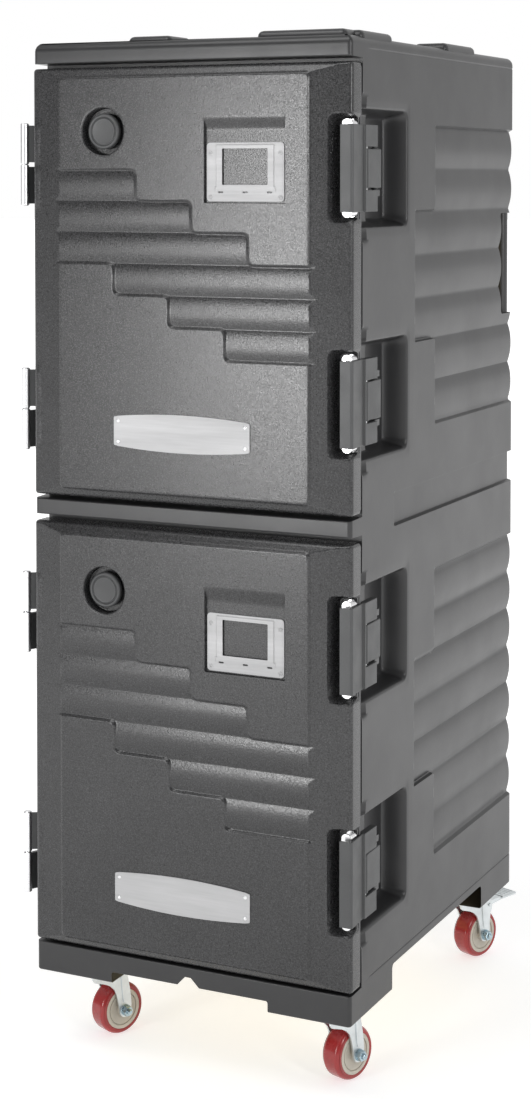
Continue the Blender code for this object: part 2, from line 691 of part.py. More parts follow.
def make_caster(name, x, y, turn, braked):
    """Built straight about the swivel axis with the wheel trailing towards +Y, then turned."""
    at = (x, y)
    top = FOOT_Z - GAP
    plate = box(
        f"caster_{name}_plate", (x - 33, x + 33), (y - 46, y + 46), (top - 3, top), 6, 2, "z",
        (x, y, top),
    )
    add(
        plate,
        rod(f"caster_{name}_race", 21, "z", at, 105, top - 1, 24),
        rod(f"caster_{name}_kingpin", 5, "z", at, 93, 110, 14),
        rod(f"caster_{name}_rivet", 10, "z", at, 90.5, 94.5, 14),
    )
    part(plate, ZINC)

    swivel = pivot(f"caster_{name}_swivel_axis", (x, y, top), turn)
    axle_y = y + TRAIL
    leg = [(y - 21, 104), (y - 24, 95), (y - 10, 76)]
    for i in range(7):
        angle = math.radians(205 + 25 * i)
        leg.append((axle_y + 10 * math.cos(angle), AXLE_Z + 10 * math.sin(angle)))
    leg += [(y + 40, 76), (y + 36, 95), (y + 27, 104)]
    if braked:
        leg = leg[:-3] + [(y + 45, 70), (y + 51, 76), (y + 51, 90), (y + 36, 96), (y + 27, 104)]
    fork = prism(f"caster_{name}_fork", leg, "x", x - 22, x + 22, (x, y, top))
    cut(
        fork,
        box(f"caster_{name}_fork_gap", (x - 18.8, x + 18.8), (y - 90, y + 120), (0, 98.5)),
        rod(f"caster_{name}_axle_bore", 4.3, "x", (axle_y, AXLE_Z), x - 40, x + 40, 12),
    )
    add(fork, rod(f"caster_{name}_cup", 23, "z", at, 98.7, 104.6, 24))
    cut(fork, rod(f"caster_{name}_king_bore", 5.3, "z", at, 92, 112, 14))
    pedal_pin = (y + 44, 84)
    if braked:
        cut(fork, rod(f"caster_{name}_pedal_bore", 2.9, "x", pedal_pin, x - 40, x + 40, 12))
    part(fork, ZINC, swivel)

    wheel_origin = (x, axle_y, AXLE_Z)
    wheel_axis = pivot(f"caster_{name}_wheel_axis", wheel_origin, parent=swivel)
    centre = (axle_y, AXLE_Z)
    tread = rod(
        f"caster_{name}_tread", WHEEL_R, "x", centre, x - WHEEL_HALF_W, x + WHEEL_HALF_W, 32,
        origin=wheel_origin,
    )
    for side in (-1, 1):
        inner, outer = WHEEL_HALF_W - 5, WHEEL_HALF_W + 0.5
        low, high = sorted((x + side * inner, x + side * outer))
        widths = (WHEEL_R + 1, WHEEL_R - 4) if side > 0 else (WHEEL_R - 4, WHEEL_R + 1)
        skirt = rod(
            f"caster_{name}_round_{side + 1}", widths[0], "x", centre, low, high, 32, widths[1]
        )
        hood = rod(f"caster_{name}_hood_{side + 1}", WHEEL_R + 9, "x", centre, low, high, 32)
        cut(tread, cut(hood, skirt))
    cut(tread, rod(f"caster_{name}_rim", 29.3, "x", centre, x - 40, x + 40, 32))
    part(tread, RED, wheel_axis)

    hub = rod(
        f"caster_{name}_hub", 29.0, "x", centre, x - 15.5, x + 15.5, 32, origin=wheel_origin
    )
    for side in (-1, 1):
        low, high = sorted((x + side * 12, x + side * 18))
        ring = rod(f"caster_{name}_dish_{side + 1}", 25, "x", centre, low, high, 28)
        cut(ring, rod(f"caster_{name}_boss_{side + 1}", 10, "x", centre, low - 3, high + 3, 20))
        cut(hub, ring)
    add(hub, rod(f"caster_{name}_sleeve", 8, "x", centre, x - 18.5, x + 18.5, 18))
    cut(hub, rod(f"caster_{name}_hub_bore", 4.3, "x", centre, x - 40, x + 40, 12))
    part(hub, CREAM, wheel_axis)

    axle = rod(
        f"caster_{name}_axle", 4, "x", centre, x - 24, x + 29, 12, origin=wheel_origin
    )
    add(
        axle,
        rod(f"caster_{name}_axle_head", 7.2, "x", centre, x - 27.5, x - 22.3, 6),
        rod(f"caster_{name}_axle_nut", 7.2, "x", centre, x + 22.3, x + 28.5, 6),
    )
    part(axle, BLUE_ZINC, swivel)

    if braked:
        brake_origin = (x, *pedal_pin)
        brake_axis = pivot(f"caster_{name}_brake_axis", brake_origin, parent=swivel)
        side = [(y + 40, 82), (y + 48, 80.5), (y + 84, 85), (y + 112, 86), (y + 114, 89),
                (y + 84, 88.4), (y + 48, 88), (y + 40, 86)]
        pedal = prism(f"caster_{name}_brake_pedal", side, "x", x - 18, x + 18, brake_origin)
        add(pedal, box(
            f"caster_{name}_pedal_tread", (x - 21, x + 21), (y + 78, y + 113), (84.6, 89.6), 2, 1
        ))
        add(pedal, rod(f"caster_{name}_pedal_pin", 2.6, "x", pedal_pin, x - 24.5, x + 24.5, 12))
        part(pedal, ZINC, brake_axis)


clear_scene()
PARTS = collection("insulated_food_carrier")
TOOLS = collection("cutters")

make_shell()
make_core()
for label, base_z, compartment in zip(("lower", "upper"), DOOR_BOTTOMS, CAVITIES):
    make_liner(f"{label}_liner", compartment)
    door_axis = make_door(label, base_z)
    make_vent(label, base_z, door_axis)
    make_holder(label, base_z, door_axis)
    make_plate(label, base_z, door_axis)
    for n, rise in enumerate(HINGE_H, start=1):
        make_hinge(label, n, base_z + rise, door_axis)
    for n, rise in enumerate(LATCH_H, start=1):
        make_latch(label, n, base_z + rise, door_axis)
make_caster("fr", CASTER_X, -CASTER_Y, CASTER_TURNS["fr"], False)
make_caster("fl", -CASTER_X, -CASTER_Y, CASTER_TURNS["fl"], False)
make_caster("rr", CASTER_X, CASTER_Y, CASTER_TURNS["rr"], True)
make_caster("rl", -CASTER_X, CASTER_Y, CASTER_TURNS["rl"], True)
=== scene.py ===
"""Insulated food carrier: the moulded surfaces, hardware, materials, light and camera.

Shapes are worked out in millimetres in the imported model's frame and scaled to metres at the end.
"""

import json
import math

import bmesh
import bpy
import numpy as np
from mathutils import Matrix, Vector


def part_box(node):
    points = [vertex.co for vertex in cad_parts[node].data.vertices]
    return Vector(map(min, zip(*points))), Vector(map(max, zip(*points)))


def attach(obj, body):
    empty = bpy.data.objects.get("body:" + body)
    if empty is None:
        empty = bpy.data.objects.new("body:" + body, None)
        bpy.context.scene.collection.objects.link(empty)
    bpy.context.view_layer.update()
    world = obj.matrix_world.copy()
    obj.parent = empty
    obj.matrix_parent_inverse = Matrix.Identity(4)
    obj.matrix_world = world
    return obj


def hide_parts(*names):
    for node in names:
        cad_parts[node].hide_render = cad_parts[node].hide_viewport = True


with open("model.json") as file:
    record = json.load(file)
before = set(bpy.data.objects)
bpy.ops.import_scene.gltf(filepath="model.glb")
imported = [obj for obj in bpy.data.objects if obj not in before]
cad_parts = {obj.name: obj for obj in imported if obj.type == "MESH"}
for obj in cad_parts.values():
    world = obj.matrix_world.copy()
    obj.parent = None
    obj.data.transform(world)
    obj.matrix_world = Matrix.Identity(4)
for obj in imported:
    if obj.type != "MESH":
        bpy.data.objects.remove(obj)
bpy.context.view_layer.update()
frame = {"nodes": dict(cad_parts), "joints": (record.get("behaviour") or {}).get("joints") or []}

MM = 0.001
SCENE = bpy.context.scene
WORLD_FRONT = 0.20
WORLD_BACK = 0.84


# Shape tools ------------------------------------------------------------------------------


def corners(node):
    """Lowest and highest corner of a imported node, in millimetres."""
    low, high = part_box(node)
    return np.array(low) / MM, np.array(high) / MM


def fade(a, b, x):
    t = np.clip((x - a) / (b - a), 0.0, 1.0)
    return t * t * (3.0 - 2.0 * t)


def window(x, low, high, blur):
    """1 between low and high and 0 outside, with blurred ends."""
    def ramp(t):
        t = np.clip(t, -6.0, 6.0)
        return 0.5 * (1.0 + np.tanh(0.798 * (t + 0.0447 * t**3)))

    return ramp((x - low) / blur) - ramp((x - high) / blur)


def lines(low, high, step, *fine):
    """Grid positions from low to high, closer together around each (centre, reach, spacing)."""
    found = [low]
    while found[-1] < high - 1e-6:
        at = found[-1]
        gap = min([step] + [s for c, r, s in fine if c - r - 1e-6 <= at < c + r])
        stops = [c - r for c, r, s in fine if at + 1e-6 < c - r < at + gap]
        found.append(min([at + gap, high] + stops))
    return np.array(found)


def from_arrays(points, faces):
    mesh = bpy.data.meshes.new("shape")
    mesh.from_pydata([tuple(p) for p in points], [], [tuple(int(i) for i in f) for f in faces])
    bm = bmesh.new()
    bm.from_mesh(mesh)
    bpy.data.meshes.remove(mesh)
    return bm


def tidy(bm, distance=0.002):
    bmesh.ops.remove_doubles(bm, verts=bm.verts, dist=distance)
    bmesh.ops.dissolve_degenerate(bm, edges=bm.edges, dist=distance)
    bmesh.ops.recalc_face_normals(bm, faces=bm.faces)
    return bm


def box(x, y, z, radius=0.0, segments=3, edges="all"):
    bm = bmesh.new()
    bmesh.ops.create_cube(bm, size=1.0)
    for v in bm.verts:
        v.co.x = x[1] if v.co.x > 0 else x[0]
        v.co.y = y[1] if v.co.y > 0 else y[0]
        v.co.z = z[1] if v.co.z > 0 else z[0]
    if radius:
        along = {"x": 0, "y": 1, "z": 2}.get(edges)
        picked = []
        for e in bm.edges:
            span = e.verts[1].co - e.verts[0].co
            if along is None or abs(span[along]) > 1e-6:
                picked.append(e)
        bmesh.ops.bevel(
            bm, geom=picked, offset=radius, segments=segments, profile=0.5, affect="EDGES"
        )
    return bm


def prism(outline, axis, low, high):
    """An outline of (y, z), (x, z) or (x, y) pairs, pushed along x, y or z."""
    def place(pair, t):
        return {"x": (t, *pair), "y": (pair[0], t, pair[1]), "z": (*pair, t)}[axis]

    bm = bmesh.new()
    ends = [[bm.verts.new(place(p, t)) for p in outline] for t in (low, high)]
    for end in ends:
        bm.faces.new(end)
    for i in range(len(outline)):
        k = (i + 1) % len(outline)
        bm.faces.new((ends[0][i], ends[0][k], ends[1][k], ends[1][i]))
    bmesh.ops.recalc_face_normals(bm, faces=bm.faces)
    return bm


def lathe(profile, axis, centre, segments=64):
    """A closed turned shape: (radius, position along the axis) pairs, from end to end."""
    count = len(profile)
    angles = np.linspace(0.0, 2.0 * math.pi, segments, endpoint=False)
    points = []
    for r, t in profile:
        for a in angles:
            u, v = centre[0] + r * math.cos(a), centre[1] + r * math.sin(a)
            points.append({"x": (t, u, v), "y": (u, t, v), "z": (u, v, t)}[axis])
    faces = []
    for i in range(count - 1):
        for k in range(segments):
            n = (k + 1) % segments
            a, b = i * segments, (i + 1) * segments
            faces.append((a + k, a + n, b + n, b + k))
    bm = from_arrays(points, faces)
    return tidy(bm, 0.0005)


def rod(radius, axis, centre, low, high, segments=40, chamfer=0.0):
    c = chamfer
    return lathe(
        [(0, low), (radius - c, low), (radius, low + c), (radius, high - c), (radius - c, high),
         (0, high)],
        axis, centre, segments,
    )


def temporary(bm):
    mesh = bpy.data.meshes.new("temporary")
    bm.to_mesh(mesh)
    bm.free()
    obj = bpy.data.objects.new("temporary", mesh)
    SCENE.collection.objects.link(obj)
    return obj


def evaluated(obj):
    graph = bpy.context.evaluated_depsgraph_get()
    graph.update()
    bm = bmesh.new()
    bm.from_mesh(obj.evaluated_get(graph).to_mesh())
    obj.evaluated_get(graph).to_mesh_clear()
    return bm


def carve(base, adds=(), cuts=()):
    """The base shape with some shapes joined to it and others then cut from it."""
    obj = temporary(base)
    helpers = []
    for operation, group in (("UNION", adds), ("DIFFERENCE", cuts)):
        for bm in group:
            helpers.append(temporary(bm))
            change = obj.modifiers.new(operation, "BOOLEAN")
            change.object = helpers[-1]
            change.operation = operation
            change.solver = "EXACT"
    made = evaluated(obj)
    for used in (obj, *helpers):
        mesh = used.data
        bpy.data.objects.remove(used)
        bpy.data.meshes.remove(mesh)
    return made


def together(*shapes):
    """Several shapes in one, without a Boolean."""
    whole = shapes[0]
    for bm in shapes[1:]:
        mesh = bpy.data.meshes.new("part")
        bm.to_mesh(mesh)
        bm.free()
        whole.from_mesh(mesh)
        bpy.data.meshes.remove(mesh)
    return whole


def turned(bm, centre, angle):
    """The shape turned about a vertical axis through centre (x, y)."""
    at = Vector((*centre, 0.0))
    bmesh.ops.rotate(bm, verts=bm.verts, cent=at, matrix=Matrix.Rotation(angle, 3, "Z"))
    return bm


def piece(name, bm, look, body, stands_for=(), bevel=0.0, sharp=34.0):
    """Links a shape to the scene as a finished piece that rides on a body."""
    bmesh.ops.scale(bm, verts=bm.verts, vec=(MM, MM, MM))
    mesh = bpy.data.meshes.new(name)
    bm.to_mesh(mesh)
    bm.free()
    mesh.shade_smooth()
    mesh.set_sharp_from_angle(angle=math.radians(sharp))
    obj = bpy.data.objects.new(name, mesh)
    SCENE.collection.objects.link(obj)
    obj.data.materials.append(LOOKS[look])
    round_edges(obj, bevel)
    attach(obj, body)
    if stands_for:
        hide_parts(*stands_for)
    return obj


def round_edges(obj, width):
    if width:
        bevel = obj.modifiers.new("edge rounding", "BEVEL")
        bevel.width = width * MM
        bevel.segments = 3
        bevel.limit_method = "ANGLE"
        bevel.angle_limit = math.radians(38)
        bevel.use_clamp_overlap = True
        bevel.miter_outer = "MITER_ARC"
        bevel.harden_normals = True
    normals = obj.modifiers.new("face weighted normals", "WEIGHTED_NORMAL")
    normals.keep_sharp = True
    normals.weight = 60


def carry(node, look, bevel=0.5):
    """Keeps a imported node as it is, with rounded edges and its own finish."""
    obj = frame["nodes"][node]
    obj.data.materials.clear()
    obj.data.materials.append(LOOKS[look])
    weld = obj.modifiers.new("weld", "WELD")
    weld.merge_threshold = 0.00001
    flat = obj.modifiers.new("flat faces", "DECIMATE")
    flat.decimate_type = "DISSOLVE"
    flat.angle_limit = math.radians(0.5)
    round_edges(obj, bevel)


# Materials --------------------------------------------------------------------------------


def surface(name, colour, rough, metal=0.0, grain=(), tone=(), gloss=(), painted_edge_highlight=0.0, coat=0.0,
            stretch=(1.0, 1.0, 1.0), specular=0.5):
    """A Principled material with its colour, roughness and relief varied by noise.

    grain is (scale, strength, depth in mm) for each layer of relief, tone is (scale, share) for
    each layer of colour variation, and gloss is (scale, share) for the roughness.
    """
    look = bpy.data.materials.new(name)
    look.use_nodes = True
    nodes, links = look.node_tree.nodes, look.node_tree.links
    shader = nodes["Principled BSDF"]
    shader.inputs["Metallic"].default_value = metal
    shader.inputs["Specular IOR Level"].default_value = specular
    shader.inputs["Coat Weight"].default_value = coat
    shader.inputs["Coat Roughness"].default_value = 0.12
    where = nodes.new("ShaderNodeTexCoord")
    mapping = nodes.new("ShaderNodeMapping")
    mapping.inputs["Scale"].default_value = stretch
    links.new(where.outputs["Object"], mapping.inputs["Vector"])

    def noise(scale, detail=2.0, seed=0.0):
        made = nodes.new("ShaderNodeTexNoise")
        made.noise_dimensions = "4D"
        made.inputs["Scale"].default_value = scale
        made.inputs["Detail"].default_value = detail
        made.inputs["W"].default_value = seed
        links.new(mapping.outputs["Vector"], made.inputs["Vector"])
        return made.outputs["Fac"]

    def spread(source, low, high, a=0.3, b=0.7):
        made = nodes.new("ShaderNodeMapRange")
        for key, value in (("From Min", a), ("From Max", b), ("To Min", low), ("To Max", high)):
            made.inputs[key].default_value = value
        links.new(source, made.inputs["Value"])
        return made.outputs["Result"]

    def times(a, b):
        made = nodes.new("ShaderNodeMath")
        made.operation = "MULTIPLY"
        links.new(a, made.inputs[0])
        links.new(b, made.inputs[1])
        return made.outputs["Value"]

    level = None
    for i, (scale, share) in enumerate(tone):
        layer = spread(noise(scale, 3.0, 3.1 + i), 1.0 - share, 1.0 + share)
        level = layer if level is None else times(level, layer)
    # Lighter colour on convex edges, found from the mesh's pointiness: a painted edge highlight.
    if painted_edge_highlight:
        shape = nodes.new("ShaderNodeNewGeometry")
        edge = spread(shape.outputs["Pointiness"], 1.0, 1.0 + painted_edge_highlight, 0.505, 0.56)
        level = edge if level is None else times(level, edge)
    if level is None:
        level = spread(noise(40.0), 0.95, 1.05)
    tint = nodes.new("ShaderNodeMix")
    tint.data_type = "RGBA"
    tint.blend_type = "MULTIPLY"
    tint.inputs["Factor"].default_value = 1.0
    tint.inputs["A"].default_value = (*colour, 1.0)
    links.new(level, tint.inputs["B"])
    links.new(tint.outputs["Result"], shader.inputs["Base Color"])

    scale, share = gloss or (25.0, 0.12)
    links.new(
        spread(noise(scale, 4.0, 9.7), rough * (1.0 - share), rough * (1.0 + share)),
        shader.inputs["Roughness"],
    )
    last = None
    for i, (scale, strength, depth) in enumerate(grain):
        bump = nodes.new("ShaderNodeBump")
        bump.inputs["Strength"].default_value = strength
        bump.inputs["Distance"].default_value = depth * MM
        links.new(noise(scale, 2.0, 15.3 + i), bump.inputs["Height"])
        if last:
            links.new(last, bump.inputs["Normal"])
        last = bump.outputs["Normal"]
    if last:
        links.new(last, shader.inputs["Normal"])
    return look


BLACK = (0.028, 0.028, 0.029)
LOOKS = {
    "black_polyethylene": surface(
        "black polyethylene", (0.024, 0.024, 0.025), 0.34, grain=((420.0, 0.14, 0.5), (90.0, 0.06, 0.6)),
        tone=((9.0, 0.10), (60.0, 0.06)), gloss=(14.0, 0.10), painted_edge_highlight=0.6,
    ),
    "grained_polyethylene": surface(
        "grained polyethylene", BLACK, 0.23, grain=((520.0, 0.19, 0.9), (1100.0, 0.10, 0.4)),
        tone=((520.0, 0.9), (9.0, 0.12)), gloss=(520.0, 0.55), painted_edge_highlight=0.6,
    ),
    "liner_polyethylene": surface(
        "liner polyethylene", (0.048, 0.048, 0.051), 0.42, grain=((260.0, 0.15, 0.3),),
        tone=((12.0, 0.08),), gloss=(18.0, 0.2),
    ),
    "insulating_foam": surface(
        "insulating foam", (0.72, 0.60, 0.34), 0.9, grain=((900.0, 0.5, 0.6),),
        tone=((20.0, 0.1), (400.0, 0.08)),
    ),
    "seal_rubber": surface(
        "seal rubber", (0.016, 0.016, 0.017), 0.62, grain=((700.0, 0.15, 0.2),), tone=((30.0, 0.1),)
    ),
    "black_nylon": surface(
        "black nylon", (0.045, 0.046, 0.047), 0.46, grain=((1500.0, 0.22, 0.2),),
        tone=((900.0, 0.10), (14.0, 0.08)), gloss=(30.0, 0.15), painted_edge_highlight=0.4,
    ),
    "stainless_steel": surface(
        "stainless steel", (0.80, 0.80, 0.81), 0.28, 1.0, grain=((500.0, 0.10, 0.05),),
        tone=((30.0, 0.05),), gloss=(60.0, 0.25), stretch=(1.0, 1.0, 0.05),
    ),
    "zinc_plate": surface(
        "zinc plate", (0.70, 0.735, 0.745), 0.38, 1.0, grain=((380.0, 0.12, 0.10),),
        tone=((60.0, 0.08), (12.0, 0.06)), gloss=(45.0, 0.25),
    ),
    "blue_zinc": surface(
        "blue zinc", (0.46, 0.58, 0.64), 0.26, 1.0, grain=((500.0, 0.1, 0.08),),
        tone=((70.0, 0.16),), gloss=(60.0, 0.3),
    ),
    "satin_plate": surface(
        "satin plate", (0.43, 0.43, 0.435), 0.52, 0.10, grain=((900.0, 0.15, 0.05),),
        tone=((40.0, 0.08), (300.0, 0.06)), gloss=(80.0, 0.22), stretch=(0.06, 1.0, 1.0),
    ),
    "red_tread": surface(
        "red polyurethane", (0.34, 0.022, 0.022), 0.24, grain=((240.0, 0.10, 0.2),),
        tone=((40.0, 0.10), (8.0, 0.08)), gloss=(35.0, 0.25), coat=0.25,
    ),
    "cream_hub": surface(
        "cream hub", (0.50, 0.46, 0.39), 0.42, grain=((500.0, 0.12, 0.2),),
        tone=((50.0, 0.06),), gloss=(40.0, 0.2), painted_edge_highlight=0.15,
    ),
}


# Cabinet ----------------------------------------------------------------------------------

SHELL_LOW, SHELL_HIGH = corners("outer_shell")
HALF_X = SHELL_HIGH[0]
HALF_Y = SHELL_HIGH[1]
FOOT_Z = SHELL_LOW[2]
TOP_Z = SHELL_HIGH[2] - 9.0
BASE_Z = FOOT_Z + 37.0
RING_Y = SHELL_LOW[1] + 37.5
TOP_ROUND = 12.0
FRONT_ROUND = 6.0
REAR_ROUND = 11.0
LEDGES = ((FOOT_Z - 50.0, 158.0), (777.0, 801.0), (1420.0, TOP_Z + 50.0))
BANDS = ((264.0, 684.0), (902.0, 1334.0))
WAIST = (773.0, 819.0)
DOOR_LOW = {tag: corners(f"{tag}_door_skin")[0] for tag in ("lower", "upper")}
DOOR_HIGH = {tag: corners(f"{tag}_door_skin")[1] for tag in ("lower", "upper")}
LATCHES = {
    (tag, n): sum(corners(f"{tag}_latch_{n}_link"))[2] / 2.0
    for tag in ("lower", "upper")
    for n in (1, 2)
}


def cabinet_path():
    """Points and outward normals round the cabinet's plan, anticlockwise from the front left."""
    points, normals = [], []

    def run(xs, ys, normal):
        for x, y in zip(xs, ys):
            points.append((x, y))
            normals.append(normal)

    def arc(cx, cy, radius, start, count):
        for k in range(1, count):
            a = math.radians(start + 90.0 * k / count)
            points.append((cx + radius * math.cos(a), cy + radius * math.sin(a)))
            normals.append((math.cos(a), math.sin(a)))

    f, r = FRONT_ROUND, REAR_ROUND
    across = lines(-HALF_X + f, HALF_X - f, 40.0)
    back = lines(-HALF_X + r, HALF_X - r, 36.0)
    side = lines(
        -HALF_Y + f, HALF_Y - r, 32.0, (-290.0, 6.0, 1.5), (-255.0, 30.0, 8.0),
        (-229.0, 11.0, 1.3), (-180.0, 36.0, 10.0), (-131.0, 12.0, 1.3), (-99.0, 7.0, 1.5),
        (-176.0, 7.0, 1.5), (-20.0, 7.0, 1.5),
    )
    run(across, np.full_like(across, -HALF_Y), (0.0, -1.0))
    arc(HALF_X - f, -HALF_Y + f, f, -90.0, 6)
    run(np.full_like(side, HALF_X), side, (1.0, 0.0))
    arc(HALF_X - r, HALF_Y - r, r, 0.0, 8)
    run(back[::-1], np.full_like(back, HALF_Y), (0.0, 1.0))
    arc(-HALF_X + r, HALF_Y - r, r, 90.0, 8)
    run(np.full_like(side, -HALF_X), side[::-1], (-1.0, 0.0))
    arc(-HALF_X + f, -HALF_Y + f, f, 180.0, 6)
    return np.array(points), np.array(normals)


def front_plane(z):
    """How far forward the cabinet reaches at each height: ledges, and bays for the doors."""
    reach = np.full_like(z, RING_Y)
    round_ = 4.0
    for low, high in LEDGES:
        depth = np.clip(np.minimum(z - low, high - z), 0.0, round_)
        edge = -HALF_Y + round_ - np.sqrt(round_**2 - (round_ - depth) ** 2)
        reach = np.where((z >= low) & (z <= high), edge, reach)
    return reach


def band_depth(y, z):
    """Depth of the convex bands that run along the sides and round the back."""
    depth = np.zeros_like(y)
    for low, high in BANDS:
        pitch = (high - low) / 7.0
        mask = np.zeros_like(y)
        for i in range(7):
            start = -99.0 if 2 <= i <= 4 else -20.0
            mask += window(z, high - pitch * (i + 1), high - pitch * i, 2.2) * window(
                y, start, 900.0, 2.2
            )
        phase = np.mod((high - z) / pitch, 1.0)
        profile = 1.2 + 5.2 * np.abs(2.0 * phase - 1.0) ** 2.2
        depth += fade(0.3, 0.7, mask) * profile
    waist = window(z, *WAIST, 1.8) * window(y, -176.0, 900.0, 2.2)
    return depth + 6.0 * fade(0.3, 0.7, waist)


def pocket_depth(y, z):
    """Depth of the latch pockets in the right side."""
    depth = np.zeros_like(y)
    for centre in LATCHES.values():
        low, high = centre - 77.0, centre + 77.0
        front = fade(0.15, 0.85, window(y, -400.0, -131.0, 5.2) * window(z, low, high, 5.2))
        rear = fade(
            0.15, 0.85, window(y, -228.0, -135.0, 4.4) * window(z, low + 4.0, high - 4.0, 4.4)
        )
        dish = window(y, -400.0, -124.0, 5.0) * window(z, low - 9.0, high + 9.0, 5.0)
        depth += 20.0 * front + 14.0 * rear + dish
        for end in (low - 13.0, high + 13.0):
            dimple = ((y + 284.0) / 6.0) ** 4 + ((z - end) / 9.0) ** 4
            depth += 6.5 * np.exp(-dimple)
    return depth


def cabinet_body():
    points, normals = cabinet_path()
    fine = [(z, 2.4, 0.8) for z in (158.0, 777.0, 801.0, 1420.0)]
    fine += [(z, 6.0, 1.2) for z in WAIST]
    fine += [(c + s * 77.0, 11.0, 1.4) for c in LATCHES.values() for s in (-1, 1)]
    fine += [(c + s * 91.0, 10.0, 1.8) for c in LATCHES.values() for s in (-1, 1)]
    fine += [((a + b) / 2.0, (b - a) / 2.0 + 3.0, 3.4) for a, b in BANDS]
    fine += [(1433.0, 3.0, 0.6), (163.5, 2.0, 0.5)]
    heights = lines(FOOT_Z + 3.0, TOP_Z - TOP_ROUND, 24.0, *fine)
    rows = [(FOOT_Z + 3.0 - 3.0 * math.sin(a), 3.0 * (1.0 - math.cos(a)))
            for a in (math.pi / 2, math.pi / 3, math.pi / 6)]
    rows += [(z, 0.0) for z in heights]
    rows += [
        (TOP_Z - TOP_ROUND * (1.0 - math.sin(a)), TOP_ROUND * (1.0 - math.cos(a)))
        for a in np.linspace(0.0, math.pi / 2, 10)[1:]
    ]
    z = np.array([r[0] for r in rows])[:, None] + np.zeros(len(points))[None, :]
    inset = np.array([r[1] for r in rows])[:, None]
    x = points[:, 0][None, :] + np.zeros_like(z)
    y = points[:, 1][None, :] + np.zeros_like(z)
    depth = band_depth(y, z)
    seam = (y > -262.0) * (
        0.7 * np.exp(-(((z - 1433.0) / 0.9) ** 2)) + 0.9 * np.exp(-(((z - 163.5) / 0.9) ** 2))
    )
    depth = depth + seam + inset
    x = x - normals[:, 0][None, :] * depth
    y = y - normals[:, 1][None, :] * depth
    y = np.maximum(y, front_plane(z))
    side = (x > 150.0) & (y > RING_Y - 1.0) & (y < -100.0)
    x = np.where(side | (x > 180.0), np.minimum(x, HALF_X - pocket_depth(y, z)), x)

    count, around = z.shape
    index = np.arange(count * around).reshape(count, around)
    a, b = index[:-1], np.roll(index, -1, axis=1)[:-1]
    c, d = np.roll(index, -1, axis=1)[1:], index[1:]
    faces = np.stack([a, b, c, d], axis=-1).reshape(-1, 4).tolist()
    faces += [index[0][::-1].tolist(), index[-1].tolist()]
    bm = from_arrays(np.stack([x, y, z], axis=-1).reshape(-1, 3), faces)
    return tidy(bm, 0.01)


def stack_pads():
    pads = (
        ((98.0, 232.0), (-312.0, -262.0), 9.0),
        ((188.0, 243.0), (-282.0, -172.0), 8.6),
        ((118.0, 184.0), (-107.0, 60.0), 9.0),
        ((188.0, 243.0), (34.0, 159.0), 9.0),
        ((-119.0, -49.0), (-284.0, -216.0), 9.0),
    )
    made = []
    for x, y, rise in pads:
        for side in (1, -1):
            made.append(box(
                sorted((x[0] * side, x[1] * side)), sorted((y[0] * side, y[1] * side)),
                (TOP_Z - 20.0, TOP_Z + rise), 8.5, 4,
            ))
    return made


def make_cabinet():
    adds = stack_pads()
    for centre in LATCHES.values():
        for low, high in ((29.5, 38.0), (-38.0, -29.5)):
            adds.append(box(
                (222.0, 244.0), (-238.5, -221.5), (centre + low, centre + high), 2.5, 3, "z"
            ))
    cuts = [
        box((-400, 400), (-180, 185), (0, BASE_Z), 7.0, 4),
        box((-123, 123), (-300, 400), (0, BASE_Z), 7.0, 4),
        box((-123, 123), (-400, -291), (0, FOOT_Z + 16.0), 3.0, 3),
        prism([(-17, 120), (17, 120), (17, 131), (4, 143.5), (-5, 143.5), (-17, 131)],
              "y", -400, -285),
        box((-234.7, 201.7), (-283.7, -118.3), (164.3, 1437.7)),
        box((-234.7, 234.7), (-123.7, 261.7), (164.3, 1437.7)),
        box((-197.7, 197.7), (255.3, 314.7), (164.3, 1437.7)),
    ]
    for tag in ("lower", "upper"):
        low, high = corners(f"{tag}_liner")
        cuts.append(box((-172.3, 172.3), (-400, -250), (low[2] + 7.7, high[2] - 7.7)))
    for side in (1, -1):
        cuts.append(box(sorted((206 * side, 300 * side)), (271, 400), (1043, 1203), 9.0, 5))
    shell = carve(cabinet_body(), adds, cuts)
    bars = []
    for side in (1, -1):
        bars.append(rod(9.0, "z", (232 * side, 312.5), 1036.0, 1210.0, 40))
    shell = carve(shell, bars)
    piece("cabinet_shell", tidy(shell), "black_polyethylene", "cabinet", ["outer_shell"])


# Doors ------------------------------------------------------------------------------------

PANEL_X = (-199.0, 189.0)
PANEL_H = (14.0, 594.0)
RIB_TOP = 465.0
RIB_PITCH = 43.7
RIB_ENDS = (-76.0, 11.0, 98.0)
RIB_STARTS = (-111.0, -24.0, 63.0)
LATCH_H = (151.0, 466.0)
HINGE_H = (121.0, 472.0)


